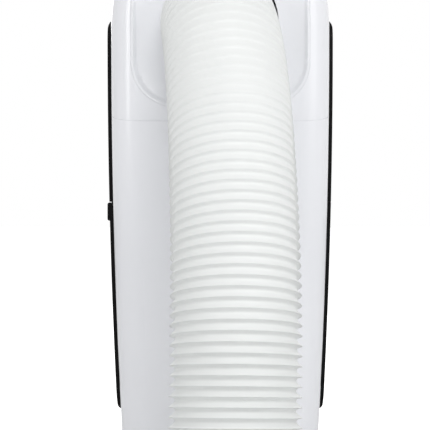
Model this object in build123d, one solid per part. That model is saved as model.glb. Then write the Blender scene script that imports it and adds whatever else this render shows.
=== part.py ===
from build123d import *
import math
import os
from functools import lru_cache

# Portable air conditioner. Millimetres, front towards -Y, left (seen from the rear) towards +X, floor at z = 0.

# Casing form
CASE_WIDTH = 283.0
CASE_DEPTH = 326.0
CASE_BOTTOM = 48.0
CASE_TOP = 725.0
CORNER_R = 38.0
WAIST_Z = 590.0
SIDE_BOW_R = 9400.0
SHOULDER_R = 320.0
BROW_Z = 560.0
BROW_R = 320.0
TOP_EDGE_R = 24.0
WALL = 3.0

# Where the casing comes apart
BASE_TOP = 74.0
BASE_FLOOR = 4.0
LID_Z = 700.0
REAR_SEAM_Z = 471.0
REAR_SEAM_TILT = 15.0
SEAM_GAP = 0.6
SEAT_GAP = 0.3

# Side openings and their grilles
OPENING_LOW = 106.0
OPENING_HIGH = 598.0
OPENING_DEPTH = 196.0
OPENING_R = 24.0
GRILLE_LOW = 93.0
GRILLE_HIGH = 613.0
GRILLE_DEPTH = 220.0
GRILLE_R = 30.0
GRILLE_PROUD = 6.5
GRILLE_TOP_ROUND = 16.0
GRILLE_FOOT_ROUND = 10.0
GRILLE_SPLIT_Z = 369.0
GRILLE_SPLIT_GAP = 1.0
SPLIT_LIP = 2.5
SLOT_HEIGHT = 5.0
SLOT_PITCH = 10.0
SLOT_TILT = 30.0
SLOT_MARGIN = 16.0
SLOT_RIB = 10.0
SLOT_CUT = 65.0
RIM_GAP = 0.8
RIM_THICK = 2.2
TAB_HEIGHT = 24.0
TAB_WIDTH = 46.0
TAB_Y = 80.0
TAB_PROUD = 3.5
TAB_ROUND = 3.1
SILL_REACH = 3.0
SILL_THICK = 2.4
SILL_WIDTH = 120.0

# Dust filters behind the grilles
FILTER_INSET = 9.0
FILTER_THICK = 3.0
FILTER_MESH = 0.8
FILTER_RIB = 5.0
FILTER_CELL = 60.0
FILTER_FIT = 1.6

# Grip cups in the sides
GRIP_Z = 655.0
GRIP_LENGTH = 92.0
GRIP_HEIGHT = 28.0
GRIP_DEPTH = 24.0
GRIP_WALL = 2.5
GRIP_FLANGE = 4.0
GRIP_FLANGE_THICK = 1.5
GRIP_CORNER_R = 8.0

# Rear recess and exhaust outlet
RECESS_WIDTH = 214.0
RECESS_LOW = 496.0
RECESS_HIGH = 690.0
RECESS_DEPTH = 55.0
RECESS_R = 52.0
RECESS_LIP = 4.5
RECESS_LIP_DEPTH = 4.0
RECESS_FLOOR_SIZE = 152.0
RECESS_FLOOR_R = 75.0
OUTLET_Z = 598.0
SPIGOT_R = 61.5
SPIGOT_WALL = 3.0
SPIGOT_REACH = 22.0
SPIGOT_FLANGE_R = 72.0
SPIGOT_FLANGE_THICK = 3.0
SEAL_R = 75.5
SEAL_THICK = 3.0

# Exhaust hose and its two end pieces
HOSE_R = 72.5
HOSE_VALLEY_R = 68.0
RIB_PITCH = 10.9
HOSE_WALL = 6.0
HOSE_FIT = 0.3
SLEEVE_WALL = 3.5
COLLAR_R = 73.5
COLLAR_THICK = 5.0
COLLAR_SLEEVE = 30.0
END_RING_R = 74.0
END_RING_HEIGHT = 30.0
END_SLEEVE = 26.0
END_LIFT = 1.0
HOSE_FOOT = (-15.0, 388.0)

# Front air outlet and its louvre
VENT_WIDTH = 164.0
VENT_LOW = 606.0
VENT_HIGH = 684.0
VENT_WALL = 2.5
VENT_FIT = 0.4
VENT_BEZEL = 6.0
VENT_BEZEL_THICK = 1.6
BLADE_COUNT = 3
BLADE_CHORD = 22.0
BLADE_THICK = 2.4
BLADE_TILT = 15.5
BLADE_SETBACK = 12.0
BLADE_SIDE_GAP = 1.5
PIVOT_R = 2.0
PIVOT_FIT = 0.05
CRANK_ARM = 8.0
CRANK_START = -50.0
CRANK_WIDTH = 7.0
CRANK_PLATE = 2.0
LINK_THICK = 2.0
LINK_WIDTH = 6.0
LINK_GAP = 1.0
STEPPER_R = 14.0
STEPPER_LENGTH = 19.0
STEPPER_HOLE = 11.4
STEPPER_OFFSET = 8.0

# Control panel in the lid
PANEL_WIDTH = 130.0
PANEL_LENGTH = 70.0
PANEL_Y = -48.0
PANEL_THICK = 3.0
PANEL_R = 8.0
PANEL_FIT = 0.3
PANEL_LEDGE = 7.0
BUTTON_NAMES = ["power", "mode", "fan", "down", "up"]
BUTTON_R = 7.5
BUTTON_PITCH = 22.0
BUTTON_Y = -32.0
BUTTON_FIT = 0.4
BUTTON_FLANGE = 1.2
BUTTON_FLANGE_THICK = 2.0
BUTTON_PROUD = 1.2
BUTTON_EDGE_R = 0.96
BUTTON_TRAVEL = 0.8
BUTTON_STEM_R = 2.5
BUTTON_STEM = 5.0
SWITCH_SIZE = 6.0
SWITCH_HEIGHT = 4.0
SWITCH_GAP = 0.1
BOARD_THICK = 1.6
POST_R = 3.0
POST_INSET = 10.5
DISPLAY_WIDTH = 60.0
DISPLAY_HEIGHT = 22.0
DISPLAY_THICK = 1.5
DISPLAY_Y = -65.0
DISPLAY_FIT = 0.2

# Swivel castors
CASTOR_X = CASE_WIDTH / 2 - 45.5
CASTOR_Y = CASE_DEPTH / 2 - 41.0
WHEEL_R = 18.0
WHEEL_WIDTH = 13.0
WHEEL_ROUND = 2.5
WHEEL_DISH = 2.0
WHEEL_HUB_R = 6.0
TRAIL = 12.0
AXLE_R = 3.0
AXLE_FIT = 0.05
CHEEK_GAP = 1.0
CHEEK_THICK = 2.5
CROWN_R = 13.0
CHEEK_TOP_HALF = 9.75
CROWN_THICK = 4.0
CROWN_GAP = 3.0
COLLAR_SEAT_R = 9.0
STEM_R = 5.0
STEM_FIT = 0.05
STEM_REACH = 22.0
SOCKET_R = 11.0

# Drain and mains cable entry
DRAIN_X = 74.0
DRAIN_Z = 60.0
DRAIN_R = 6.5
DRAIN_BORE_R = 4.5
DRAIN_REACH = 14.0
DRAIN_POCKET = 30.0
PLUG_FIT = 0.2
PLUG_HEAD_R = 6.2
PLUG_HEAD = 3.0
PLUG_REACH = 11.0
GLAND_X = -28.0
GLAND_Z = 108.0
GLAND_R = 5.5
GLAND_FLANGE_R = 7.0
GLAND_FLANGE = 4.0
GLAND_BORE_R = 4.0

# Middle tray that divides the cold side from the hot side
PAN_Z = 345.0
PAN_THICK = 3.0
PAN_RIM = 14.0
PAN_MARGIN = 12.0
PAN_FIT = 1.0
PAN_LEDGE = 6.0

# Blowers, shared
BLOWER_WALL = 2.5
BLADE_RING = 10.0
FAN_BLADES = 24
FAN_BLADE_THICK = 1.6
FAN_DISC = 4.0
FAN_SIDE_GAP = 6.0
SHAFT_R = 4.0
SHAFT_HOLE_R = 6.0
SHAFT_FIT = 0.05
SHAFT_REACH = 20.0
MOTOR_R = 36.0
MOTOR_LENGTH = 44.0
MOTOR_ROUND = 4.0

# Cold side blower
COLD_FAN_Y = -40.0
COLD_FAN_Z = 475.0
COLD_HOUSING_R = 74.0
COLD_FOOT_Y = 0.6 * COLD_HOUSING_R
COLD_FAN_R = 60.0
COLD_HOUSING_HALF = 80.0
COLD_INLET_R = 52.0
COLD_FOOT = 20.0

# Hot side blower and the duct to the outlet
HOT_FAN_Y = 2.0
HOT_FAN_Z = 205.0
HOT_HOUSING_R = 100.0
HOT_FOOT_Y = 0.5 * HOT_HOUSING_R
HOT_FAN_R = 82.0
HOT_HOUSING_X = (10.0, 76.0)
HOT_INLET_R = 66.0
HOT_FOOT = 20.0
DUCT_BACK_Y = 102.0
DUCT_DEPTH = 64.0
DUCT_HALF = 65.0
DUCT_START_Z = 362.0
DUCT_FULL_Z = 500.0
DUCT_TOP_Z = 672.0
DUCT_WALL = 2.5

# Coils
COIL_THICK = 22.0
COIL_PLATE = 3.0
COIL_GROOVE = 6.0
COIL_PITCH = 12.0
COIL_GROOVE_DEPTH = 4.0
HOT_COIL_X = 88.0
HOT_COIL_HALF = 106.0
HOT_SEAT_Y = 0.8 * HOT_COIL_HALF
HOT_COIL_Z = (60.0, 318.0)
COLD_COIL_X = -122.0
COLD_COIL_Y = (-110.0, 30.0)
COLD_COIL_TOP = 585.0

# Compressor, its feet and the pipes
COMPRESSOR_X = -58.0
COMPRESSOR_Y = -95.0
COMPRESSOR_R = 52.0
COMPRESSOR_TOP = 262.0
COMPRESSOR_DOME = 18.0
FOOT_HEIGHT = 24.0
FOOT_R = 9.0
FOOT_CIRCLE = 54.0
FOOT_PLATE = 4.0
TANK_X = -88.0
TANK_Y = -22.0
TANK_R = 19.0
TANK_Z = (112.0, 236.0)
PIPE_R = 4.0
PIPE_BEND = 12.0
PIPE_HOLE_R = 6.0
CAPILLARY_R = 2.5
CROSSING_Y = 130.0
CAPILLARY_Z = 430.0
CABINET_X = (80.0, 120.0)
CABINET_Y = (40.0, 100.0)
CABINET_HEIGHT = 172.0
CABINET_WALL = 2.0

REAR_Y = CASE_DEPTH / 2
FRONT_Y = -CASE_DEPTH / 2
FLOOR_Z = CASE_BOTTOM + BASE_FLOOR
FAR = 2 * CASE_TOP


def box_between(x, y, z):
    """Box that spans a low and a high value on each axis."""
    spans = [sorted(pair) for pair in (x, y, z)]
    size = [high - low for low, high in spans]
    middle = [(low + high) / 2 for low, high in spans]
    return Pos(*middle) * Box(*size)


def rod(axis, radius, span, at):
    """Round bar along one axis, with its low and high end and its place on the other two axes."""
    low, high = sorted(span)
    middle = (low + high) / 2
    bar = Cylinder(radius, high - low)
    if axis == "x":
        return Pos(middle, *at) * Rot(0, 90, 0) * bar
    if axis == "y":
        return Pos(at[0], middle, at[1]) * Rot(90, 0, 0) * bar
    return Pos(*at, middle) * bar


def tube(axis, outer, inner, span, at):
    """Round bar with a through hole."""
    low, high = sorted(span)
    return rod(axis, outer, span, at) - rod(axis, inner, (low - 1, high + 1), at)


def side_x(z, inset=0.0):
    """Half the casing width at height z, to a surface that lies inset inside the outer one."""
    radius = (SHOULDER_R if z > WAIST_Z else SIDE_BOW_R) - inset
    return CASE_WIDTH / 2 - inset - radius + math.sqrt(radius**2 - (z - WAIST_Z) ** 2)


def front_y(z, inset=0.0):
    """Front face at height z, to a surface that lies inset inside the outer one."""
    radius = BROW_R - inset
    rise = max(z - BROW_Z, 0.0)
    return FRONT_Y + inset + radius - math.sqrt(radius**2 - rise**2)


@lru_cache(maxsize=None)
def case_form(inset):
    """Solid of the whole casing, drawn in by the given amount: front view and side view, then rounded."""
    low = CASE_BOTTOM + inset
    high = CASE_TOP - inset
    half = CASE_WIDTH / 2 - inset
    lower_mid = (low + WAIST_Z) / 2
    upper_mid = (high + WAIST_Z) / 2
    front_view = Curve()
    for side in (1, -1):
        foot = (side * side_x(low, inset), low)
        waist = (side * half, WAIST_Z)
        head = (side * side_x(high, inset), high)
        front_view += ThreePointArc(foot, (side * side_x(lower_mid, inset), lower_mid), waist)
        front_view += ThreePointArc(waist, (side * side_x(upper_mid, inset), upper_mid), head)
    front_view += Line((-side_x(low, inset), low), (side_x(low, inset), low))
    front_view += Line((-side_x(high, inset), high), (side_x(high, inset), high))
    brow_mid = (high + BROW_Z) / 2
    corners = [(front_y(high, inset), high), (REAR_Y - inset, high), (REAR_Y - inset, low)]
    corners += [(FRONT_Y + inset, low), (FRONT_Y + inset, BROW_Z)]
    side_view = Polyline(*corners)
    side_view += ThreePointArc(corners[-1], (front_y(brow_mid, inset), brow_mid), corners[0])
    body = extrude(Plane.XZ * make_face(front_view), CASE_DEPTH, both=True)
    body &= extrude(Plane.YZ * make_face(side_view), CASE_WIDTH, both=True)
    upright = body.edges().filter_by(lambda edge: edge.bounding_box().size.Z > WALL)
    body = fillet(upright, CORNER_R - inset)
    return fillet(body.edges().group_by(Axis.Z)[-1], TOP_EDGE_R - inset)


@lru_cache(maxsize=None)
def case_layer(outer, inner):
    """Even layer that follows the casing between two depths below its surface."""
    return case_form(outer) - case_form(inner)


def side_prism(depth, low, high, radius, reach):
    """Rounded block through the left side wall, in side view as deep and high as given."""
    face = Pos(0, (low + high) / 2) * RectangleRounded(depth, high - low, radius)
    return extrude(Plane.YZ.offset(reach) * face, FAR)


def both_sides(solid):
    """A left-hand solid with its mirror image on the right."""
    return solid + mirror(solid, about=Plane.YZ)


def below_seam(low, high):
    """Slab along the tilted rear seam, from low to high above the seam plane."""
    tilt = math.radians(REAR_SEAM_TILT)
    plane = Plane((0, REAR_Y, REAR_SEAM_Z), x_dir=(1, 0, 0), z_dir=(0, math.sin(tilt), math.cos(tilt)))
    return plane * box_between((-FAR, FAR), (-FAR, FAR), (low, high))


def side_opening():
    """Block that cuts the air intake opening through the left wall."""
    return side_prism(OPENING_DEPTH, OPENING_LOW, OPENING_HIGH, OPENING_R, CASE_WIDTH / 4)


def grip_block(grow, floor_x):
    """Rounded block for the left grip cup, grown on all sides."""
    height = GRIP_HEIGHT + 2 * grow
    low, high = GRIP_Z - height / 2, GRIP_Z + height / 2
    return side_prism(GRIP_LENGTH + 2 * grow, low, high, GRIP_CORNER_R + grow, floor_x)


def shell_region(y, z):
    """Part of the casing skin between two depths and two heights, with the side openings cut out."""
    cut = side_opening() + grip_block(GRIP_WALL + SEAT_GAP, CASE_WIDTH / 4)
    return (case_layer(0, WALL) & box_between((-FAR, FAR), y, z)) - both_sides(cut)


def door_sill(y):
    """Narrow ledge on the left wall that the filter door stands on and tips out over."""
    top = GRILLE_LOW - SEAT_GAP
    inner = side_x(top, WALL / 2)
    return box_between((inner, side_x(top) + SILL_REACH), y, (top - SILL_THICK, top))


def pan_ledge(y):
    """Inner shelf that carries the middle tray."""
    half = CASE_WIDTH / 2 - CORNER_R
    return box_between((-half, half), y, (PAN_Z - PAN_LEDGE, PAN_Z))


def vent_block(grow, back):
    """Block through the front wall in the form of the air outlet, grown on all sides."""
    half = VENT_WIDTH / 2 + grow
    return box_between((-half, half), (2 * FRONT_Y, back), (VENT_LOW - grow, VENT_HIGH + grow))


def front_panel():
    """Front half of the casing, one moulding with the air outlet opening."""
    body = shell_region((-FAR, -SEAM_GAP / 2), (BASE_TOP + SEAM_GAP, LID_Z))
    body += pan_ledge((FRONT_Y + WALL / 2, FRONT_Y + PAN_MARGIN + PAN_FIT))
    body += door_sill((-SILL_WIDTH / 2, -SEAM_GAP / 2))
    return body - vent_block(0, COLD_FAN_Y)


def rear_lower_cover():
    """Lower half of the back with the cable entry."""
    body = shell_region((SEAM_GAP / 2, FAR), (BASE_TOP + SEAM_GAP, LID_Z)) & below_seam(-FAR, 0)
    body += pan_ledge((REAR_Y - PAN_MARGIN - PAN_FIT, REAR_Y - WALL / 2))
    body += door_sill((SEAM_GAP / 2, SILL_WIDTH / 2))
    return body - rod("y", GLAND_R + PLUG_FIT, (REAR_Y - CORNER_R, FAR), (GLAND_X, GLAND_Z))


def recess_loft(grow, deeper):
    """Tapered block of the hose recess: lip, throat and floor, grown by a wall thickness for its outside."""
    middle = (RECESS_LOW + RECESS_HIGH) / 2
    height = RECESS_HIGH - RECESS_LOW
    lip = 2 * RECESS_LIP
    sections = [
        (REAR_Y, middle, RECESS_WIDTH + lip, height + lip, RECESS_R + RECESS_LIP),
        (REAR_Y - RECESS_LIP_DEPTH - deeper, middle, RECESS_WIDTH, height, RECESS_R),
        (REAR_Y - RECESS_DEPTH - deeper, OUTLET_Z, RECESS_FLOOR_SIZE, RECESS_FLOOR_SIZE, RECESS_FLOOR_R),
    ]
    faces = []
    for y, z, width, tall, radius in sections:
        face = RectangleRounded(width + 2 * grow, tall + 2 * grow, radius + grow)
        faces.append(Plane.XZ.offset(-y) * Pos(0, z) * face)
    return loft(faces, ruled=True)


def rear_upper_cover():
    """Upper half of the back, cut out for the hose recess."""
    body = shell_region((SEAM_GAP / 2, FAR), (0, LID_Z)) & below_seam(SEAM_GAP, FAR)
    return body - recess_loft(WALL + SEAT_GAP, WALL + SEAT_GAP)


def recess_tub():
    """Deep tub clipped into the upper rear cover, with a flared lip and a hole for the hose outlet."""
    body = recess_loft(WALL, WALL) & case_form(0)
    body -= recess_loft(0, 0)
    return body - rod("y", SPIGOT_R + SEAT_GAP, (0, FAR), (0, OUTLET_Z))


def panel_window(grow, z):
    """Rounded block for the control panel, grown on all sides."""
    face = RectangleRounded(PANEL_WIDTH + 2 * grow, PANEL_LENGTH + 2 * grow, PANEL_R + grow)
    low, high = z
    return Pos(0, PANEL_Y, low) * extrude(face, high - low)


def top_cover():
    """Lid with a stepped window for the control panel."""
    seat = CASE_TOP - PANEL_THICK
    body = case_layer(0, WALL) & box_between((-FAR, FAR), (-FAR, FAR), (LID_Z + SEAM_GAP, FAR))
    body -= panel_window(PANEL_FIT, (seat - WALL, FAR))
    frame = panel_window(WALL, (seat - WALL, seat)) - panel_window(-PANEL_LEDGE, (0, FAR))
    return body + frame


def castor_places():
    """The four castor swivel axes with their names."""
    return [
        ("front_left", CASTOR_X, -CASTOR_Y),
        ("front_right", -CASTOR_X, -CASTOR_Y),
        ("rear_left", CASTOR_X, CASTOR_Y),
        ("rear_right", -CASTOR_X, CASTOR_Y),
    ]


def base_tray():
    """Floor of the machine: a tray with castor sockets, coil seats and a drain spigot in a pocket."""
    body = case_form(0) & box_between((-FAR, FAR), (-FAR, FAR), (0, BASE_TOP))
    body -= case_form(WALL) & box_between((-FAR, FAR), (-FAR, FAR), (FLOOR_Z, FAR))
    for name, x, y in castor_places():
        body += rod("z", SOCKET_R, (CASE_BOTTOM, BASE_TOP), (x, y))
        body -= rod("z", STEM_R + STEM_FIT, (0, CASE_BOTTOM + STEM_REACH + SEAM_GAP), (x, y))
    for y in (-HOT_SEAT_Y, HOT_SEAT_Y):
        seat = box_between((0, COIL_THICK), (-SOCKET_R / 2, SOCKET_R / 2), (CASE_BOTTOM, HOT_COIL_Z[0]))
        body += Pos(HOT_COIL_X, y, 0) * seat
    half = DRAIN_POCKET / 2
    pocket_back = REAR_Y - DRAIN_REACH - SEAM_GAP
    x_span = (DRAIN_X - half - WALL, DRAIN_X + half + WALL)
    body += box_between(x_span, (pocket_back - WALL, REAR_Y - WALL / 2), (CASE_BOTTOM, BASE_TOP))
    x_span = (DRAIN_X - half, DRAIN_X + half)
    body -= box_between(x_span, (pocket_back, FAR), (0, BASE_TOP - WALL))
    body += rod("y", DRAIN_R, (pocket_back - WALL / 2, REAR_Y - SEAM_GAP), (DRAIN_X, DRAIN_Z))
    return body - rod("y", DRAIN_BORE_R, (pocket_back - 2 * WALL, FAR), (DRAIN_X, DRAIN_Z))


def drain_plug():
    """Rubber stopper in the drain spigot."""
    face_y = REAR_Y - SEAM_GAP + SEAT_GAP
    head = rod("y", PLUG_HEAD_R, (face_y, face_y + PLUG_HEAD), (DRAIN_X, DRAIN_Z))
    return head + rod("y", DRAIN_BORE_R - PLUG_FIT, (face_y - PLUG_REACH, face_y), (DRAIN_X, DRAIN_Z))


def cord_gland():
    """Cable entry bush clamped on both sides of the rear wall."""
    at = (GLAND_X, GLAND_Z)
    inside = REAR_Y - WALL - SEAT_GAP
    body = rod("y", GLAND_R, (inside - GLAND_FLANGE, REAR_Y + GLAND_FLANGE), at)
    body += rod("y", GLAND_FLANGE_R, (inside - GLAND_FLANGE, inside), at)
    body += rod("y", GLAND_FLANGE_R, (REAR_Y + SEAT_GAP, REAR_Y + GLAND_FLANGE), at)
    body = chamfer(body.edges().filter_by(GeomType.CIRCLE).sort_by(Axis.Y)[-1], GLAND_FLANGE / 3)
    return body - rod("y", GLAND_BORE_R, (0, FAR), at)


@lru_cache(maxsize=None)
def grille_block():
    """Left grille panel before it is divided: proud of the casing, running out at both ends."""
    foot = (side_x(GRILLE_LOW, -SEAT_GAP), GRILLE_LOW)
    head = (side_x(GRILLE_HIGH, -SEAT_GAP), GRILLE_HIGH)
    low_run = GRILLE_LOW + GRILLE_FOOT_ROUND
    high_run = GRILLE_HIGH - GRILLE_TOP_ROUND
    middle = (low_run + high_run) / 2
    low_skin = (side_x(low_run, -GRILLE_PROUD), low_run)
    high_skin = (side_x(high_run, -GRILLE_PROUD), high_run)
    inner_x = CASE_WIDTH / 4
    outline = ThreePointArc(low_skin, (side_x(middle, -GRILLE_PROUD), middle), high_skin)
    outline += TangentArc(high_skin, head, tangent=(0, 1))
    outline += TangentArc(low_skin, foot, tangent=(0, -1))
    outline += Polyline(foot, (inner_x, GRILLE_LOW), (inner_x, GRILLE_HIGH), head)
    block = extrude(Plane.XZ * make_face(outline), GRILLE_DEPTH / 2, both=True)
    block &= side_prism(GRILLE_DEPTH, GRILLE_LOW, GRILLE_HIGH, GRILLE_R, 0)
    return block - case_form(-SEAT_GAP)


def grille_slots(z):
    """Two columns of air slots, sloping down outwards."""
    low, high = z
    width = (GRILLE_DEPTH - 2 * SLOT_MARGIN - SLOT_RIB) / 2
    count = int((high - low - SLOT_HEIGHT) / SLOT_PITCH) + 1
    first = (low + high) / 2 - (count - 1) * SLOT_PITCH / 2
    cuts = []
    for row in range(count):
        height = first + row * SLOT_PITCH
        for side in (-1, 1):
            place = Pos(side_x(height), side * (width + SLOT_RIB) / 2, height)
            cuts.append(place * Rot(0, SLOT_TILT, 0) * Box(SLOT_CUT, width, SLOT_HEIGHT))
    return cuts


def opening_rim(z):
    """Flange of a left grille that reaches into the side opening as far as the filter."""
    rings = []
    for gap in (RIM_GAP, RIM_GAP + RIM_THICK):
        low, high = OPENING_LOW + gap, OPENING_HIGH - gap
        rings.append(side_prism(OPENING_DEPTH - 2 * gap, low, high, OPENING_R - gap, CASE_WIDTH / 4))
    rim = (rings[0] - rings[1]) & case_layer(-GRILLE_PROUD / 2, FILTER_INSET - SEAT_GAP)
    return rim & box_between((0, FAR), (-FAR, FAR), z)


def left_grille(z):
    """Left grille piece between two heights, with its rim and slots."""
    low, high = z
    body = grille_block() & box_between((0, FAR), (-FAR, FAR), z)
    slot_low = max(low, OPENING_LOW + RIM_GAP + RIM_THICK) + SLOT_MARGIN / 2
    slot_high = min(high, OPENING_HIGH - RIM_GAP - RIM_THICK) - SLOT_MARGIN / 2
    if abs(low - GRILLE_LOW) < SEAT_GAP:
        slot_high -= TAB_HEIGHT
    body += opening_rim(z)
    return body - grille_slots((slot_low, slot_high))


def split_lip(grow):
    """Inner half of the grille skin just below the split, where the upper piece laps behind the lower one."""
    z = (GRILLE_SPLIT_Z - SPLIT_LIP - grow, GRILLE_SPLIT_Z + GRILLE_SPLIT_GAP)
    skin = grille_block() & case_form(-GRILLE_PROUD / 2 - grow)
    return skin & box_between((0, FAR), (-FAR, FAR), z)


def upper_grille():
    """Upper left grille, with the lip that closes the split to the eye."""
    return left_grille(grille_spans()[0]) + split_lip(0)


def lower_grille():
    """Lower left grille, stepped at the top for the lip."""
    return left_grille(grille_spans()[1]) - split_lip(SEAT_GAP)


def grille_spans():
    """Height spans of the upper and the lower grille piece."""
    half = GRILLE_SPLIT_GAP / 2
    return (GRILLE_SPLIT_Z + half, GRILLE_HIGH), (GRILLE_LOW, GRILLE_SPLIT_Z - half)


def door_tab():
    """Finger tab along the top edge of the filter door."""
    high = GRILLE_SPLIT_Z - GRILLE_SPLIT_GAP / 2
    low = high - TAB_HEIGHT
    back = side_x(high, -GRILLE_PROUD / 2)
    face = side_x(high, -GRILLE_PROUD - TAB_PROUD)
    tab = box_between((back, face), (TAB_Y - TAB_WIDTH / 2, TAB_Y + TAB_WIDTH / 2), (low, high))
    edges = tab.edges().group_by(Axis.X)[-1]
    return fillet(edges, TAB_ROUND)


def filter_outline(inset):
    """Rounded block just inside the side opening, which a filter fills as far as its ends."""
    gap = FILTER_FIT + inset
    low, high = OPENING_LOW + gap, OPENING_HIGH - gap
    return side_prism(OPENING_DEPTH - 2 * gap, low, high, OPENING_R - inset, CASE_WIDTH / 4)


def left_filter(z):
    """Dust filter: a thin ribbed frame that follows the side wall, with a fine mesh in its cells."""
    low, high = z
    half = OPENING_DEPTH / 2 - FILTER_FIT
    inner = FILTER_INSET + FILTER_THICK
    zone = filter_outline(0) & box_between((0, FAR), (-half, half), z)
    frame = case_layer(FILTER_INSET, inner) & zone
    rows = max(round((high - low) / FILTER_CELL), 1)
    columns = max(round(2 * half / FILTER_CELL), 1)
    tall = (high - low - FILTER_RIB) / rows
    wide = (2 * half - FILTER_RIB) / columns
    cell = filter_outline(FILTER_RIB)
    cells = []
    for row in range(rows):
        for column in range(columns):
            y = -half + FILTER_RIB / 2 + (column + 0.5) * wide
            height = low + FILTER_RIB / 2 + (row + 0.5) * tall
            block = Box(CASE_WIDTH / 2, wide - FILTER_RIB, tall - FILTER_RIB)
            cells.append(cell & Pos(CASE_WIDTH / 2, y, height) * block)
    middle = FILTER_INSET + FILTER_THICK / 2
    mesh = case_layer(middle - FILTER_MESH / 2, middle + FILTER_MESH / 2) & zone
    return (frame - cells) + mesh


def left_grip():
    """Cup for the fingers in the left shoulder, with a thin flange on the outside."""
    floor_x = side_x(GRIP_Z) - GRIP_DEPTH
    cup = grip_block(GRIP_WALL, floor_x - GRIP_WALL) & case_form(-SEAT_GAP)
    flange = grip_block(GRIP_WALL + GRIP_FLANGE, CASE_WIDTH / 4)
    cup += flange & case_layer(-SEAT_GAP - GRIP_FLANGE_THICK, -SEAT_GAP)
    return cup - grip_block(0, floor_x)


def vent_back():
    """Depth at which the front outlet meets the cold blower."""
    return COLD_FAN_Y - COLD_HOUSING_R


def blade_axes():
    """Pivot positions (y, z) of the louvre blades, lowest first."""
    pitch = (VENT_HIGH - VENT_LOW - 2 * VENT_WALL - 2 * VENT_FIT) / BLADE_COUNT
    middle = (VENT_HIGH + VENT_LOW) / 2
    heights = [middle + (row - (BLADE_COUNT - 1) / 2) * pitch for row in range(BLADE_COUNT)]
    return [(front_y(z) + BLADE_SETBACK, z) for z in heights]


def vent_frame():
    """Outlet surround: a short duct with a bezel, and pivot holes for the blades."""
    body = vent_block(-VENT_FIT, vent_back()) & case_form(-VENT_BEZEL_THICK)
    body += vent_block(VENT_BEZEL, COLD_FAN_Y) & case_layer(-VENT_BEZEL_THICK, -SEAT_GAP)
    body -= vent_block(-VENT_FIT - VENT_WALL, FAR)
    for at in blade_axes():
        body -= rod("x", PIVOT_R + PIVOT_FIT, (-FAR, FAR), at)
    return body


def crank_pin(at):
    """Place of a blade's crank pin at rest."""
    turn = math.radians(CRANK_START)
    return at[0] + CRANK_ARM * math.cos(turn), at[1] + CRANK_ARM * math.sin(turn)


def link_span():
    """Where the link bar lies along x, beside the right end of the blades."""
    inner = VENT_WIDTH / 2 - VENT_FIT - VENT_WALL
    return -inner + LINK_GAP, -inner + LINK_GAP + LINK_THICK


def louvre_blade(at, driven):
    """One louvre blade with pivots, a crank plate and a crank pin; the driven one reaches into the motor."""
    inner = VENT_WIDTH / 2 - VENT_FIT - VENT_WALL
    right = link_span()[1] + LINK_GAP + CRANK_PLATE
    left = inner - BLADE_SIDE_GAP
    section = Rot(0, 0, BLADE_TILT - 90) * SlotOverall(BLADE_CHORD, BLADE_THICK)
    body = Pos(right, *at) * extrude(Plane.YZ * section, left - right)
    plate_x = (right - CRANK_PLATE, right + CRANK_PLATE)
    pin = crank_pin(at)
    arm = SlotCenterToCenter(CRANK_ARM, CRANK_WIDTH)
    arm = Pos(CRANK_ARM / 2, 0) * arm
    arm = Plane.YZ * (Rot(0, 0, CRANK_START) * arm)
    body += Pos(plate_x[0], *at) * extrude(arm, CRANK_PLATE)
    body += rod("x", PIVOT_R, (-inner - VENT_WALL, right + 2 * BLADE_THICK), at)
    end = inner + VENT_WALL
    if driven:
        end += STEPPER_LENGTH / 2
    body += rod("x", PIVOT_R, (left - 2 * BLADE_THICK, end), at)
    return body + rod("x", PIVOT_R, (link_span()[0] - LINK_GAP / 2, plate_x[1]), pin)


def louvre_link():
    """Slightly bent bar that ties the crank pins of the blades together."""
    pins = [crank_pin(at) for at in blade_axes()]
    bars = []
    for low, high in zip(pins, pins[1:]):
        lean = math.degrees(math.atan2(high[1] - low[1], high[0] - low[0]))
        middle = ((low[0] + high[0]) / 2, (low[1] + high[1]) / 2)
        bars.append(Pos(*middle) * Rot(0, 0, lean) * SlotCenterToCenter(math.dist(low, high), LINK_WIDTH))
    x = link_span()
    body = extrude(Plane.YZ.offset(x[0]) * (bars[0] + bars[1:]), LINK_THICK)
    for pin in pins:
        body -= rod("x", PIVOT_R + PIVOT_FIT, x, pin)
    return body


def louvre_motor():
    """Small stepper motor on the left wall of the outlet surround, its shaft beside its centre."""
    y, z = blade_axes()[BLADE_COUNT // 2]
    start = VENT_WIDTH / 2 - VENT_FIT
    body = rod("x", STEPPER_R, (start, start + STEPPER_LENGTH), (y + STEPPER_OFFSET, z))
    return body - rod("x", PIVOT_R + PIVOT_FIT, (start, start + STEPPER_HOLE), (y, z))


def button_places():
    """Name and x of each button, in a row."""
    middle = (len(BUTTON_NAMES) - 1) / 2
    return [(name, (index - middle) * BUTTON_PITCH) for index, name in enumerate(BUTTON_NAMES)]


def panel_underside():
    """Height of the control panel's lower face."""
    return CASE_TOP - PANEL_THICK


def stem_end():
    """Height of a button's lower end at rest."""
    return panel_underside() - SEAT_GAP - BUTTON_FLANGE_THICK - BUTTON_STEM


def board_top():
    """Height of the circuit board's upper face, a switch and a full press below the button."""
    return stem_end() - BUTTON_TRAVEL - SWITCH_GAP - SWITCH_HEIGHT


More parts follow.
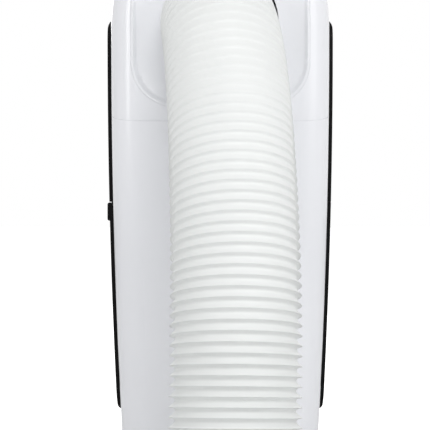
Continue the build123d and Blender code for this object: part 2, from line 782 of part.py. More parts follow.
def control_panel():
    """Plate in the lid with button holes, a display pocket and four posts for the circuit board."""
    body = panel_window(0, (panel_underside(), CASE_TOP))
    for name, x in button_places():
        body -= rod("z", BUTTON_R + BUTTON_FIT, (0, FAR), (x, BUTTON_Y))
    pocket = Box(DISPLAY_WIDTH + 2 * DISPLAY_FIT, DISPLAY_HEIGHT + 2 * DISPLAY_FIT, 2 * DISPLAY_THICK)
    body -= Pos(0, DISPLAY_Y, CASE_TOP) * pocket
    for side in (-1, 1):
        for end in (-1, 1):
            x = side * (PANEL_WIDTH / 2 - POST_INSET)
            y = PANEL_Y + end * (PANEL_LENGTH / 2 - POST_INSET)
            body += rod("z", POST_R, (board_top(), panel_underside()), (x, y))
    return body


def display_window():
    """Dark cover of the digital display, flush in the control panel."""
    low = CASE_TOP - DISPLAY_THICK
    face = Rectangle(DISPLAY_WIDTH, DISPLAY_HEIGHT)
    return Pos(0, DISPLAY_Y, low) * extrude(face, DISPLAY_THICK)


def button(x):
    """Push button: a domed cap with a retaining flange and a stem above its switch."""
    under = panel_underside() - SEAT_GAP
    top = CASE_TOP + BUTTON_PROUD
    cap = rod("z", BUTTON_R, (under - BUTTON_FLANGE_THICK, top), (x, BUTTON_Y))
    cap = fillet(cap.edges().sort_by(Axis.Z)[-1], BUTTON_EDGE_R)
    cap += rod("z", BUTTON_R + BUTTON_FLANGE, (under - BUTTON_FLANGE_THICK, under), (x, BUTTON_Y))
    return cap + rod("z", BUTTON_STEM_R, (stem_end(), under), (x, BUTTON_Y))


def control_board():
    """Circuit board under the control panel with a switch below each button."""
    top = board_top()
    width = PANEL_WIDTH - 2 * PANEL_LEDGE - 4 * PANEL_FIT
    length = PANEL_LENGTH - 2 * PANEL_LEDGE - 4 * PANEL_FIT
    body = Pos(0, PANEL_Y, top - BOARD_THICK / 2) * Box(width, length, BOARD_THICK)
    for name, x in button_places():
        body += Pos(x, BUTTON_Y, top + SWITCH_HEIGHT / 2) * Box(SWITCH_SIZE, SWITCH_SIZE, SWITCH_HEIGHT)
    return body


def recess_floor_y():
    """Depth of the recess floor seen from the rear."""
    return REAR_Y - RECESS_DEPTH


def exhaust_outlet():
    """Round spigot clamped behind the recess floor."""
    at = (0, OUTLET_Z)
    back = recess_floor_y() - WALL
    tube_span = (back - SPIGOT_FLANGE_THICK, recess_floor_y() + SPIGOT_REACH)
    body = rod("y", SPIGOT_R, tube_span, at)
    body += rod("y", SPIGOT_FLANGE_R, (back - SPIGOT_FLANGE_THICK, back), at)
    return body - rod("y", SPIGOT_R - SPIGOT_WALL, (0, FAR), at)


def outlet_seal():
    """Dark foam ring between the recess floor and the hose collar."""
    start = recess_floor_y()
    return tube("y", SEAL_R, SPIGOT_R + SEAT_GAP, (start, start + SEAL_THICK), (0, OUTLET_Z))


def sleeve_r():
    """Outer radius of the sleeves that the hose is pushed over."""
    return HOSE_R - HOSE_WALL - HOSE_FIT


def hose_start_y():
    """Depth of the face where the hose meets its collar."""
    return recess_floor_y() + SEAL_THICK + COLLAR_THICK


def hose_connector():
    """Collar that pushes over the spigot and carries the hose."""
    at = (0, OUTLET_Z)
    start = recess_floor_y() + SEAL_THICK
    body = rod("y", COLLAR_R, (start, hose_start_y()), at)
    body += rod("y", sleeve_r(), (start, hose_start_y() + COLLAR_SLEEVE), at)
    return body - rod("y", SPIGOT_R + SEAT_GAP, (0, FAR), at)


def hose_route():
    """Corners of the hose's centre line, from the collar down to the floor."""
    x, y = HOSE_FOOT
    start = hose_start_y()
    return [
        (0, start, OUTLET_Z),
        (0, start + 40, OUTLET_Z),
        (-1, start + 75, 588),
        (-4, start + 107, 565),
        (-7, start + 137, 525),
        (-11, start + 169, 462),
        (-14, start + 201, 383),
        (-16, start + 227, 303),
        (-16, start + 247, 220),
        (x, start + 262, 126),
        (x, y, 72),
        (x, y, END_LIFT + END_RING_HEIGHT),
    ]


def bend_radii(points):
    """Largest even bend at each corner that leaves the straight runs intact."""
    radii = []
    for before, here, after in zip(points, points[1:], points[2:]):
        first = Vector(*here) - Vector(*before)
        second = Vector(*after) - Vector(*here)
        half_turn = math.radians(first.get_angle(second)) / 2
        radii.append(0.45 * min(first.length, second.length) / math.tan(half_turn))
    return radii


def exhaust_hose():
    """Bellows hose: a ruled loft through the valleys and crests of its folds, with a plain bore."""
    points = hose_route()
    radii = bend_radii(points)
    path = FilletPolyline(*points, radius=radii)
    print("hose length", round(path.length, 1), "tightest bend", round(min(radii), 1))
    steps = 2 * round(path.length / RIB_PITCH)
    rings = []
    for step in range(steps + 1):
        at = step / steps
        radius = HOSE_R if step % 2 else HOSE_VALLEY_R
        rings.append(Plane(path @ at, x_dir=(1, 0, 0), z_dir=path % at) * Circle(radius))
    bore = sweep(Plane(path @ 0, z_dir=path % 0) * Circle(HOSE_R - HOSE_WALL), path)
    return loft(rings, ruled=True) - bore


def hose_end_connector():
    """Ring at the free end of the hose, with a sleeve inside the hose and an open mouth."""
    top = END_LIFT + END_RING_HEIGHT
    body = rod("z", END_RING_R, (END_LIFT, top), HOSE_FOOT)
    body = fillet(body.edges().filter_by(GeomType.CIRCLE), SLEEVE_WALL)
    body += rod("z", sleeve_r(), (END_LIFT + SLEEVE_WALL, top + END_SLEEVE), HOSE_FOOT)
    return body - rod("z", sleeve_r() - SLEEVE_WALL, (0, FAR), HOSE_FOOT)


def wheel_crown():
    """Height of the fork crown's lower face, clear above the wheel."""
    return 2 * WHEEL_R + CROWN_GAP


def castor_fork(x, y):
    """Swivel fork: crown, stem, two cheeks and the riveted axle."""
    crown = wheel_crown()
    top = crown + CROWN_THICK
    inner = WHEEL_WIDTH / 2 + CHEEK_GAP
    body = rod("z", CROWN_R, (crown, top), (0, 0))
    body += rod("z", COLLAR_SEAT_R, (crown, CASE_BOTTOM - SEAT_GAP), (0, 0))
    body += rod("z", STEM_R, (crown, CASE_BOTTOM + STEM_REACH), (0, 0))
    wide = CHEEK_TOP_HALF
    boss = 2 * AXLE_R
    cheek = Polygon((-wide, top), (TRAIL - boss, WHEEL_R), (TRAIL + boss, WHEEL_R), (wide, top), align=None)
    cheek += Pos(TRAIL, WHEEL_R) * Circle(boss)
    plate = extrude(Plane.YZ.offset(inner) * cheek, CHEEK_THICK)
    body += plate + mirror(plate, about=Plane.YZ)
    reach = inner + CHEEK_THICK
    body += rod("x", AXLE_R, (-reach, reach), (TRAIL, WHEEL_R))
    return Pos(x, y, 0) * body


def castor_wheel(x, y):
    """Castor wheel with dished faces and a running bore."""
    half = WHEEL_WIDTH / 2
    bore = AXLE_R + AXLE_FIT
    rim = WHEEL_R - 2 * WHEEL_ROUND
    points = [(bore, -half), (WHEEL_HUB_R, -half), (WHEEL_HUB_R + WHEEL_DISH, -half + WHEEL_DISH)]
    points += [(rim - WHEEL_DISH, -half + WHEEL_DISH), (rim, -half), (WHEEL_R, -half)]
    points += [(radius, -along) for radius, along in reversed(points)]
    section = Polygon(*points, align=None)
    tread = section.vertices().group_by(Axis.X)[-1]
    section = fillet(tread, WHEEL_ROUND)
    wheel = revolve(Plane.XZ * section, Axis.Z)
    return Pos(x, y + TRAIL, WHEEL_R) * Rot(0, 90, 0) * wheel


def drain_pan():
    """Tray between the cold and the hot side, with passages for the duct and the pipes."""
    half_x = side_x(PAN_Z, FILTER_INSET + FILTER_THICK) - PAN_FIT
    half_y = REAR_Y - WALL - PAN_FIT
    top = PAN_Z + PAN_RIM
    body = box_between((-half_x, half_x), (-half_y, half_y), (PAN_Z, top))
    body = fillet(body.edges().filter_by(Axis.Z), CORNER_R)
    x_span = (-half_x + PAN_THICK, half_x - PAN_THICK)
    y_span = (-half_y + PAN_THICK, half_y - PAN_THICK)
    hollow = box_between(x_span, y_span, (PAN_Z + PAN_THICK, FAR))
    body -= fillet(hollow.edges().filter_by(Axis.Z), CORNER_R - PAN_THICK)
    collar_x = (HOT_HOUSING_X[0] - PAN_FIT - PAN_THICK, HOT_HOUSING_X[1] + PAN_FIT + PAN_THICK)
    collar_y = (DUCT_BACK_Y - DUCT_DEPTH - PAN_FIT - PAN_THICK, DUCT_BACK_Y + PAN_FIT + PAN_THICK)
    body += box_between(collar_x, collar_y, (PAN_Z, top))
    hole_x = (HOT_HOUSING_X[0] - PAN_FIT, HOT_HOUSING_X[1] + PAN_FIT)
    hole_y = (DUCT_BACK_Y - DUCT_DEPTH - PAN_FIT, DUCT_BACK_Y + PAN_FIT)
    body -= box_between(hole_x, hole_y, (0, FAR))
    for x, y in (suction_drop(), capillary_rise()):
        body -= rod("z", PIPE_HOLE_R, (0, FAR), (x, y))
    return body


def fan_wheel(radius, x):
    """Squirrel cage wheel along x: a disc at the motor end, a ring at the inlet end, blades between."""
    disc_end, ring_end = x
    step = math.copysign(FAN_DISC, ring_end - disc_end)
    body = rod("x", radius, (disc_end, disc_end + step), (0, 0))
    body += tube("x", radius, radius - BLADE_RING, (ring_end - step, ring_end), (0, 0))
    bar = box_between((disc_end, ring_end), (radius - BLADE_RING, radius - 1), (0, FAN_BLADE_THICK))
    for index in range(FAN_BLADES):
        body += Rot(index * 360 / FAN_BLADES, 0, 0) * bar
    return body


def motor(start, way, at):
    """Blower motor: a rounded can on the housing wall with a shaft hole."""
    end = start + way * MOTOR_LENGTH
    body = rod("x", MOTOR_R, (start, end), at)
    outer = body.edges().filter_by(GeomType.CIRCLE).sort_by(Axis.X)
    body = fillet(outer[-1] if way > 0 else outer[0], MOTOR_ROUND)
    return body - rod("x", SHAFT_R + SHAFT_FIT, (start, start + way * (SHAFT_REACH + 1)), at)


def blower_outline(y, z, radius, duct_y, duct_top, shrink):
    """Side view of a blower housing: a drum with a straight neck going up."""
    neck_low, neck_high = sorted(duct_y)
    width = neck_high - neck_low - 2 * shrink
    height = duct_top - z
    neck = Pos((neck_low + neck_high) / 2, z + height / 2) * Rectangle(width, height)
    return Pos(y, z) * Circle(radius - shrink) + neck


def cold_housing():
    """Casing of the cold air blower, blowing up and out through the front outlet."""
    half = COLD_HOUSING_HALF
    at = (COLD_FAN_Y, COLD_FAN_Z)
    neck = (vent_back(), COLD_FAN_Y)
    top = VENT_HIGH + BLOWER_WALL
    outer = blower_outline(*at, COLD_HOUSING_R, neck, top, 0)
    inner = blower_outline(*at, COLD_HOUSING_R, neck, top - BLOWER_WALL, BLOWER_WALL)
    body = extrude(Plane.YZ.offset(-half) * outer, 2 * half)
    floor = PAN_Z + PAN_THICK
    for x in (-half, half - COLD_FOOT):
        for side in (-1, 1):
            y = COLD_FAN_Y + side * COLD_FOOT_Y
            foot_y = (y - COLD_FOOT / 2, y + COLD_FOOT / 2)
            body += box_between((x, x + COLD_FOOT), foot_y, (floor, COLD_FAN_Z))
    body -= extrude(Plane.YZ.offset(-half + BLOWER_WALL) * inner, 2 * (half - BLOWER_WALL))
    body -= rod("x", COLD_INLET_R, (-half - 1, 0), at)
    body -= rod("x", SHAFT_HOLE_R, (0, half + 1), at)
    return body - vent_block(-VENT_FIT - VENT_WALL, vent_back() + 2 * BLOWER_WALL)


def cold_wheel():
    """Cold side fan wheel with its motor shaft."""
    reach = COLD_HOUSING_HALF - BLOWER_WALL - FAN_SIDE_GAP
    wheel = fan_wheel(COLD_FAN_R, (reach, -reach))
    wheel += rod("x", SHAFT_R, (reach, COLD_HOUSING_HALF + SHAFT_REACH), (0, 0))
    return Pos(0, COLD_FAN_Y, COLD_FAN_Z) * wheel


def hot_housing():
    """Casing of the hot air blower, standing on the base and blowing up into the duct."""
    low, high = HOT_HOUSING_X
    at = (HOT_FAN_Y, HOT_FAN_Z)
    neck = (DUCT_BACK_Y - DUCT_DEPTH, DUCT_BACK_Y)
    outer = blower_outline(*at, HOT_HOUSING_R, neck, DUCT_START_Z, 0)
    inner = blower_outline(*at, HOT_HOUSING_R, neck, DUCT_START_Z, BLOWER_WALL)
    body = extrude(Plane.YZ.offset(low) * outer, high - low)
    for side in (-1, 1):
        y = HOT_FAN_Y + side * HOT_FOOT_Y
        body += box_between((low, high), (y - HOT_FOOT / 2, y + HOT_FOOT / 2), (FLOOR_Z, HOT_FAN_Z))
    body -= extrude(Plane.YZ.offset(low + BLOWER_WALL) * inner, high - low - 2 * BLOWER_WALL)
    body -= rod("x", HOT_INLET_R, ((low + high) / 2, high + 1), at)
    return body - rod("x", SHAFT_HOLE_R, (low - 1, (low + high) / 2), at)


def hot_wheel():
    """Hot side fan wheel with its motor shaft."""
    low, high = HOT_HOUSING_X
    near = low + BLOWER_WALL + FAN_SIDE_GAP
    far = high - BLOWER_WALL - FAN_SIDE_GAP
    wheel = fan_wheel(HOT_FAN_R, (near, far))
    wheel += rod("x", SHAFT_R, (low - SHAFT_REACH, near), (0, 0))
    return Pos(0, HOT_FAN_Y, HOT_FAN_Z) * wheel


def duct_block(shrink, top):
    """Block of the exhaust duct: a tapered lower part under a straight chimney."""
    low, high = HOT_HOUSING_X
    y = DUCT_BACK_Y - DUCT_DEPTH / 2
    deep = DUCT_DEPTH - 2 * shrink
    start = Pos((low + high) / 2, y, DUCT_START_Z) * Rectangle(high - low - 2 * shrink, deep)
    full = Pos(0, y, DUCT_FULL_Z) * Rectangle(2 * DUCT_HALF - 2 * shrink, deep)
    return loft([start, full], ruled=True) + extrude(full, top - DUCT_FULL_Z)


def exhaust_duct():
    """Duct from the hot blower up to the round outlet in the recess."""
    body = duct_block(0, DUCT_TOP_Z) - duct_block(DUCT_WALL, DUCT_TOP_Z - DUCT_WALL)
    hole = rod("y", SPIGOT_R - SPIGOT_WALL, (DUCT_BACK_Y - DUCT_WALL - 1, FAR), (0, OUTLET_Z))
    return body - hole


def coil(x, y, z):
    """Finned heat exchanger block with end plates and grooves that stand for the fin gaps."""
    body = box_between(x, y, z)
    count = int((y[1] - y[0] - 2 * COIL_PLATE) / COIL_PITCH)
    first = (y[0] + y[1]) / 2 - (count - 1) * COIL_PITCH / 2
    for index in range(count):
        middle = first + index * COIL_PITCH
        gap = (middle - COIL_GROOVE / 2, middle + COIL_GROOVE / 2)
        body -= box_between((x[0], x[0] + COIL_GROOVE_DEPTH), gap, (z[0] - 1, z[1] + 1))
        body -= box_between((x[1] - COIL_GROOVE_DEPTH, x[1]), gap, (z[0] - 1, z[1] + 1))
    return body


def foot_places():
    """The three compressor feet."""
    places = []
    for angle in (0, 120, 240):
        turn = math.radians(angle)
        x = COMPRESSOR_X + FOOT_CIRCLE * math.cos(turn)
        places.append((angle, x, COMPRESSOR_Y + FOOT_CIRCLE * math.sin(turn)))
    return places


def compressor():
    """Welded compressor can on a three-armed foot plate, with its suction tank strapped to it."""
    at = (COMPRESSOR_X, COMPRESSOR_Y)
    plate = FLOOR_Z + FOOT_HEIGHT
    can = rod("z", COMPRESSOR_R, (plate, COMPRESSOR_TOP), at)
    can = fillet(can.edges().filter_by(GeomType.CIRCLE), COMPRESSOR_DOME)
    can += rod("z", PIPE_R + 1, (COMPRESSOR_TOP - 1, COMPRESSOR_TOP + PIPE_BEND / 2), at)
    for angle, x, y in foot_places():
        arm = box_between((0, FOOT_CIRCLE), (-FOOT_R, FOOT_R), (plate, plate + FOOT_PLATE))
        can += Pos(*at, 0) * Rot(0, 0, angle) * arm
        can += rod("z", FOOT_R, (plate, plate + FOOT_PLATE), (x, y))
    tank = rod("z", TANK_R, TANK_Z, (TANK_X, TANK_Y))
    tank = fillet(tank.edges().filter_by(GeomType.CIRCLE), TANK_R / 2)
    reach = math.dist(at, (TANK_X, TANK_Y))
    lean = math.degrees(math.atan2(TANK_Y - COMPRESSOR_Y, TANK_X - COMPRESSOR_X))
    middle = (TANK_Z[0] + TANK_Z[1]) / 2
    strap = box_between((COMPRESSOR_R / 2, reach), (-FOOT_R, FOOT_R), (middle - FOOT_R, middle + FOOT_R))
    return can + tank + Pos(*at, 0) * Rot(0, 0, lean) * strap


def compressor_feet():
    """Three rubber bushes under the compressor's foot plate."""
    feet = [rod("z", FOOT_R, (FLOOR_Z, FLOOR_Z + FOOT_HEIGHT), (x, y)) for angle, x, y in foot_places()]
    return Compound(children=feet)


def pipe(points, radius):
    """Bent round pipe through the given corners."""
    path = FilletPolyline(*points, radius=PIPE_BEND)
    return sweep(Plane(path @ 0, z_dir=path % 0) * Circle(radius), path)


def suction_drop():
    """Where the suction pipe passes the middle tray."""
    return COLD_COIL_X + COIL_THICK / 2, COLD_COIL_Y[1] + 2 * PIPE_BEND


def capillary_rise():
    """Where the capillary tube passes the middle tray."""
    return HOT_COIL_X + COIL_THICK / 2, CROSSING_Y


def discharge_pipe():
    """Hot gas pipe from the compressor to the top of the condenser."""
    x, y = COMPRESSOR_X, COMPRESSOR_Y
    start = COMPRESSOR_TOP + PIPE_BEND / 2
    high = PAN_Z - 2.5 * PIPE_R
    end_x = HOT_COIL_X + COIL_THICK / 2
    return pipe([(x, y, start), (x, y, high), (end_x, y, high), (end_x, y, HOT_COIL_Z[1])], PIPE_R)


def suction_pipe():
    """Cold gas pipe from the evaporator down to the compressor's suction tank."""
    x, y = suction_drop()
    height = PAN_Z + 4 * PIPE_BEND
    low = TANK_Z[1] + 4 * PIPE_BEND
    points = [(x, COLD_COIL_Y[1], height), (x, y, height), (x, y, low), (TANK_X, TANK_Y, low)]
    return pipe(points + [(TANK_X, TANK_Y, TANK_Z[1])], PIPE_R)


def capillary_tube():
    """Thin liquid pipe from the condenser across the back to the evaporator."""
    x, y = capillary_rise()
    low = HOT_COIL_Z[0] + 3 * PIPE_BEND
    end_x = suction_drop()[0] + 2 * PIPE_R
    points = [(x, HOT_COIL_HALF, low), (x, y, low), (x, y, CAPILLARY_Z), (end_x, y, CAPILLARY_Z)]
    return pipe(points + [(end_x, COLD_COIL_Y[1], CAPILLARY_Z)], CAPILLARY_R)


def electrical_box():
    """Closed box for the power electronics, standing on the middle tray."""
    floor = PAN_Z + PAN_THICK
    outer = box_between(CABINET_X, CABINET_Y, (floor, floor + CABINET_HEIGHT))
    outer = fillet(outer.edges().filter_by(Axis.Z), 2 * CABINET_WALL)
    inner_x = (CABINET_X[0] + CABINET_WALL, CABINET_X[1] - CABINET_WALL)
    inner_y = (CABINET_Y[0] + CABINET_WALL, CABINET_Y[1] - CABINET_WALL)
    inner_z = (floor + CABINET_WALL, floor + CABINET_HEIGHT - CABINET_WALL)
    return outer - box_between(inner_x, inner_y, inner_z)


def right_hand(solid):
    """Mirror image of a left-hand piece for the right side."""
    return mirror(solid, about=Plane.YZ)


upper_span, lower_span = grille_spans()
low_filter = OPENING_LOW + FILTER_FIT
high_filter = OPENING_HIGH - FILTER_FIT
split_low = lower_span[1] - FILTER_FIT
split_high = upper_span[0] + FILTER_FIT
cold_coil_x = (COLD_COIL_X, COLD_COIL_X + COIL_THICK)
hot_coil_x = (HOT_COIL_X, HOT_COIL_X + COIL_THICK)
hot_coil_y = (-HOT_COIL_HALF, HOT_COIL_HALF)

pieces = {
    "base_tray": base_tray(),
    "front_panel": front_panel(),
    "rear_lower_cover": rear_lower_cover(),
    "rear_upper_cover": rear_upper_cover(),
    "recess_tub": recess_tub(),
    "top_cover": top_cover(),
    "side_grille_upper_left": upper_grille(),
    "side_grille_upper_right": right_hand(upper_grille()),
    "side_grille_lower_right": right_hand(lower_grille()),
    "filter_door": lower_grille() + door_tab(),
    "door_filter": left_filter((low_filter, split_low)),
    "upper_filter_left": left_filter((split_high, high_filter)),
    "filter_right": right_hand(left_filter((low_filter, high_filter))),
    "grip_cup_left": left_grip(),
    "grip_cup_right": right_hand(left_grip()),
    "vent_frame": vent_frame(),
    "louvre_link": louvre_link(),
    "louvre_motor": louvre_motor(),
    "control_panel": control_panel(),
    "display_window": display_window(),
    "control_board": control_board(),
    "exhaust_outlet": exhaust_outlet(),
    "outlet_seal": outlet_seal(),
    "hose_connector": hose_connector(),
    "exhaust_hose": exhaust_hose(),
    "hose_end_connector": hose_end_connector(),
    "cord_gland": cord_gland(),
    "drain_plug": drain_plug(),
    "drain_pan": drain_pan(),
    "cold_blower_housing": cold_housing(),
    "cold_blower_wheel": cold_wheel(),
    "cold_blower_motor": motor(COLD_HOUSING_HALF, 1, (COLD_FAN_Y, COLD_FAN_Z)),
    "hot_blower_housing": hot_housing(),
    "hot_blower_wheel": hot_wheel(),
    "hot_blower_motor": motor(HOT_HOUSING_X[0], -1, (HOT_FAN_Y, HOT_FAN_Z)),
    "exhaust_duct": exhaust_duct(),
    "condenser_coil": coil(hot_coil_x, hot_coil_y, HOT_COIL_Z),
    "evaporator_coil": coil(cold_coil_x, COLD_COIL_Y, (PAN_Z + PAN_THICK, COLD_COIL_TOP)),
    "compressor": compressor(),
    "compressor_feet": compressor_feet(),
    "discharge_pipe": discharge_pipe(),
    "suction_pipe": suction_pipe(),
    "capillary_tube": capillary_tube(),
    "electrical_box": electrical_box(),
}
for index, name in enumerate(["lower", "middle", "upper"]):
    pieces["louvre_blade_" + name] = louvre_blade(blade_axes()[index], index == BLADE_COUNT // 2)
for name, x in button_places():
    pieces["button_" + name] = button(x)
for name, x, y in castor_places():
    pieces["castor_fork_" + name] = castor_fork(x, y)
    pieces["castor_wheel_" + name] = castor_wheel(x, y)

os.makedirs("parts", exist_ok=True)
for name, piece in pieces.items():
    export_step(piece, "parts/" + name + ".step")
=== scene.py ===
import math

import bmesh
import bpy
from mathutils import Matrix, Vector


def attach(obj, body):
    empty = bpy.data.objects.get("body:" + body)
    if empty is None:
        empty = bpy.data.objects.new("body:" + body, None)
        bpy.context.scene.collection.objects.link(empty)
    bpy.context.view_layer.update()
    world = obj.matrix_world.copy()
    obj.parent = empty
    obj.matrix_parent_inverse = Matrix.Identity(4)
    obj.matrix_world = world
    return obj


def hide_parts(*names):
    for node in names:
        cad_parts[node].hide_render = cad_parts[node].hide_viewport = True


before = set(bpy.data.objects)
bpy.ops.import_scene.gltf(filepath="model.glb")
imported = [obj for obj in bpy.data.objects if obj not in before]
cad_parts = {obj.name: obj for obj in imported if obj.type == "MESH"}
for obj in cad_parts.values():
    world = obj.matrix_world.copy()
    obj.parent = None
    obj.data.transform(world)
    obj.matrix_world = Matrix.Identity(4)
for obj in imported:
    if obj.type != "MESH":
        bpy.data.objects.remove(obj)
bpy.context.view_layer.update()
scene = bpy.context.scene

# Casing: front panel, two rear covers and lid, injection moulded from white ABS and clipped
# together. The louvre, its surround and the cable bush are the same plastic. A polished mould gives
# it an even, soft gloss, with a faint orange peel that only shows where a light is mirrored.
PEEL_SIZE = 0.006
PEEL_HEIGHT = 0.0004
CASE_FLOW_SIZE = 0.11


def srgb(hex_code):
    """Linear colour with alpha from an sRGB hex code."""
    channels = [int(hex_code[i:i + 2], 16) / 255 for i in (1, 3, 5)]
    linear = [c / 12.92 if c <= 0.04045 else ((c + 0.055) / 1.055) ** 2.4 for c in channels]
    return (*linear, 1.0)


def add_node(tree, kind, inputs=(), **settings):
    """Adds a shader node, sets its options, and sets or links its inputs by name or number."""
    made = tree.nodes.new(kind)
    for option, value in settings.items():
        setattr(made, option, value)
    for socket, value in dict(inputs).items():
        if isinstance(value, bpy.types.NodeSocket):
            tree.links.new(value, made.inputs[socket])
        else:
            made.inputs[socket].default_value = value
    return made


def new_material(name):
    """Node material with its tree, its Principled shader and the object-space position."""
    material = bpy.data.materials.new(name)
    material.use_nodes = True
    tree = material.node_tree
    shader = tree.nodes["Principled BSDF"]
    place = add_node(tree, "ShaderNodeTexCoord").outputs["Object"]
    return material, tree, shader, place


def finish_nodes(material, *names):
    """Gives the named CAD nodes one material all over."""
    for name in names:
        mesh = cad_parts[name].data
        mesh.materials.clear()
        mesh.materials.append(material)


abs_white, tree, shader, place = new_material("moulded_abs_white")
shader.inputs["IOR"].default_value = 1.53
peel = add_node(tree, "ShaderNodeTexNoise", {
    "Vector": place, "Scale": 1 / PEEL_SIZE, "Detail": 2.0})
bump = add_node(tree, "ShaderNodeBump", {
    "Height": peel.outputs["Fac"], "Strength": 0.015, "Distance": PEEL_HEIGHT})
tree.links.new(bump.outputs["Normal"], shader.inputs["Normal"])
flow = add_node(tree, "ShaderNodeTexNoise", {
    "Vector": place, "Scale": 1 / CASE_FLOW_SIZE, "Detail": 3.0})
tone = add_node(tree, "ShaderNodeValToRGB", {"Fac": flow.outputs["Fac"]})
tone.color_ramp.elements[0].color = srgb("#F1F2F6")
tone.color_ramp.elements[1].color = srgb("#F4F5F9")
tree.links.new(tone.outputs["Color"], shader.inputs["Base Color"])
gloss = add_node(tree, "ShaderNodeMapRange", {
    "Value": flow.outputs["Fac"], "To Min": 0.16, "To Max": 0.22})
tree.links.new(gloss.outputs["Result"], shader.inputs["Roughness"])
finish_nodes(abs_white, "front_panel", "rear_lower_cover", "rear_upper_cover", "top_cover")
finish_nodes(abs_white, "vent_frame", "cord_gland")
finish_nodes(abs_white, "louvre_blade_lower", "louvre_blade_middle", "louvre_blade_upper")

# Seam tongue: the lower rear cover ends in a thin tongue that slides behind the upper one, so that
# the seam across the back is a shallow groove and not an open gap. Moulded with the cover, in its
# white ABS.
SEAM_GAP = 0.0006
GROOVE_DEPTH = 0.0007
SEAM_ABOVE = 0.40
FACING_UP = 0.5
WELD = 0.00001
SHARP_ANGLE = math.radians(35.0)


def mesh_piece(name, mesh_data, material):
    """Smooth-shaded object from a finished bmesh."""
    mesh = bpy.data.meshes.new(name)
    mesh_data.to_mesh(mesh)
    mesh_data.free()
    for face in mesh.polygons:
        face.use_smooth = True
    mesh.materials.append(material)
    piece = bpy.data.objects.new(name, mesh)
    scene.collection.objects.link(piece)
    return piece


def edge_tongue(name, node, above, groove, height, material):
    """Thin tongue on a CAD node's upward faces over a level, set in from their edges."""
    tongue = bmesh.new()
    tongue.from_mesh(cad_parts[node].data)
    bmesh.ops.remove_doubles(tongue, verts=tongue.verts, dist=WELD)
    rest = [face for face in tongue.faces
            if face.normal.z <= FACING_UP or face.calc_center_median().z <= above]
    bmesh.ops.delete(tongue, geom=rest, context="FACES")
    rim = bmesh.ops.inset_region(
        tongue, faces=tongue.faces[:], thickness=groove, use_boundary=True, use_even_offset=True)
    bmesh.ops.delete(tongue, geom=rim["faces"], context="FACES")
    raised = bmesh.ops.extrude_face_region(tongue, geom=tongue.faces[:])
    for item in raised["geom"]:
        if isinstance(item, bmesh.types.BMVert):
            item.co.z += height
    piece = mesh_piece(name, tongue, material)
    piece.data.set_sharp_from_angle(angle=SHARP_ANGLE)
    return piece


cover_tongue = edge_tongue(
    "seam_tongue", "rear_lower_cover", SEAM_ABOVE, GROOVE_DEPTH, SEAM_GAP, abs_white)
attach(cover_tongue, "casing")

# Hose recess: a dish of the same white ABS, clipped into the upper rear cover from inside. Its lip
# and its hold in the cover are the CAD's; the wall behind the lip is drawn as the shallow curve
# that shows, and ends in a round hole that leaves a thin dark gap around the hose.
DISH_LIP_Y = 0.159
DISH_DEPTH = 0.008
DISH_CURVE = 1.5
DISH_WALL = 0.003
DISH_MESH = 0.006
DISH_HALVINGS = 4
DISH_HOLE_R = 0.0745
OUTLET_Z = 0.598
LIP_Z = 0.593
LIP_HALF = (0.107, 0.097)
LIP_R = 0.052


def inside_lip(x, z):
    """Distance of a point of the dish from the rounded outline of its lip."""
    over_x = abs(x) - (LIP_HALF[0] - LIP_R)
    over_z = abs(z - LIP_Z) - (LIP_HALF[1] - LIP_R)
    corner = math.hypot(max(over_x, 0.0), max(over_z, 0.0))
    return max(LIP_R - corner - min(max(over_x, over_z), 0.0), 0.0)


dish_mesh = bmesh.new()
dish_mesh.from_mesh(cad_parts["recess_tub"].data)
bmesh.ops.remove_doubles(dish_mesh, verts=dish_mesh.verts, dist=WELD)
for halving in range(DISH_HALVINGS):
    long_edges = [edge for edge in dish_mesh.edges if edge.calc_length() > DISH_MESH]
    bmesh.ops.subdivide_edges(dish_mesh, edges=long_edges, cuts=1)
    bmesh.ops.triangulate(dish_mesh, faces=dish_mesh.faces)
dish_mesh.normal_update()
hidden = [vertex.normal.y < 0 for vertex in dish_mesh.verts]
for vertex, behind in zip(dish_mesh.verts, hidden):
    spot = vertex.co
    if spot.y >= DISH_LIP_Y:
        continue
    out = Vector((spot.x, 0.0, spot.z - OUTLET_Z))
    if out.length < DISH_HOLE_R:
        out = out.normalized() * DISH_HOLE_R
        spot.x, spot.z = out.x, out.z + OUTLET_Z
    from_hole = max(out.length - DISH_HOLE_R, 0.0)
    share = from_hole / max(from_hole + inside_lip(spot.x, spot.z), WELD)
    spot.y = DISH_LIP_Y - DISH_DEPTH * (1 - share ** DISH_CURVE) - DISH_WALL * behind
dish = mesh_piece("recess_dish", dish_mesh, abs_white)
dish.data.set_sharp_from_angle(angle=SHARP_ANGLE)
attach(dish, "casing")
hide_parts("recess_tub")

# Side grilles, filter door, grip cups and control panel: black ABS, clipped over the side openings.
# The mould is finely spark-eroded, so the black is deep and nearly matt, a little uneven in its
# sheen. The real grit is about 0.3 mm; it is drawn at 0.8 mm so that it shows.
ABS_GRIT = 0.0008
ABS_GRIT_HEIGHT = 0.0002
SHEEN_SIZE = 0.017
abs_black, tree, shader, place = new_material("textured_abs_black")
shader.inputs["IOR"].default_value = 1.53
shader.inputs["Specular IOR Level"].default_value = 0.1
grit = add_node(tree, "ShaderNodeTexNoise", {"Vector": place, "Scale": 1 / ABS_GRIT, "Detail": 2.0})
bump = add_node(tree, "ShaderNodeBump", {
    "Height": grit.outputs["Fac"], "Strength": 0.2, "Distance": ABS_GRIT_HEIGHT})
tree.links.new(bump.outputs["Normal"], shader.inputs["Normal"])
sheen = add_node(tree, "ShaderNodeTexNoise", {
    "Vector": place, "Scale": 1 / SHEEN_SIZE, "Detail": 6.0, "Roughness": 0.7})
tone = add_node(tree, "ShaderNodeValToRGB", {"Fac": sheen.outputs["Fac"]})
tone.color_ramp.elements[0].color = srgb("#040405")
tone.color_ramp.elements[1].color = srgb("#0A0A0B")
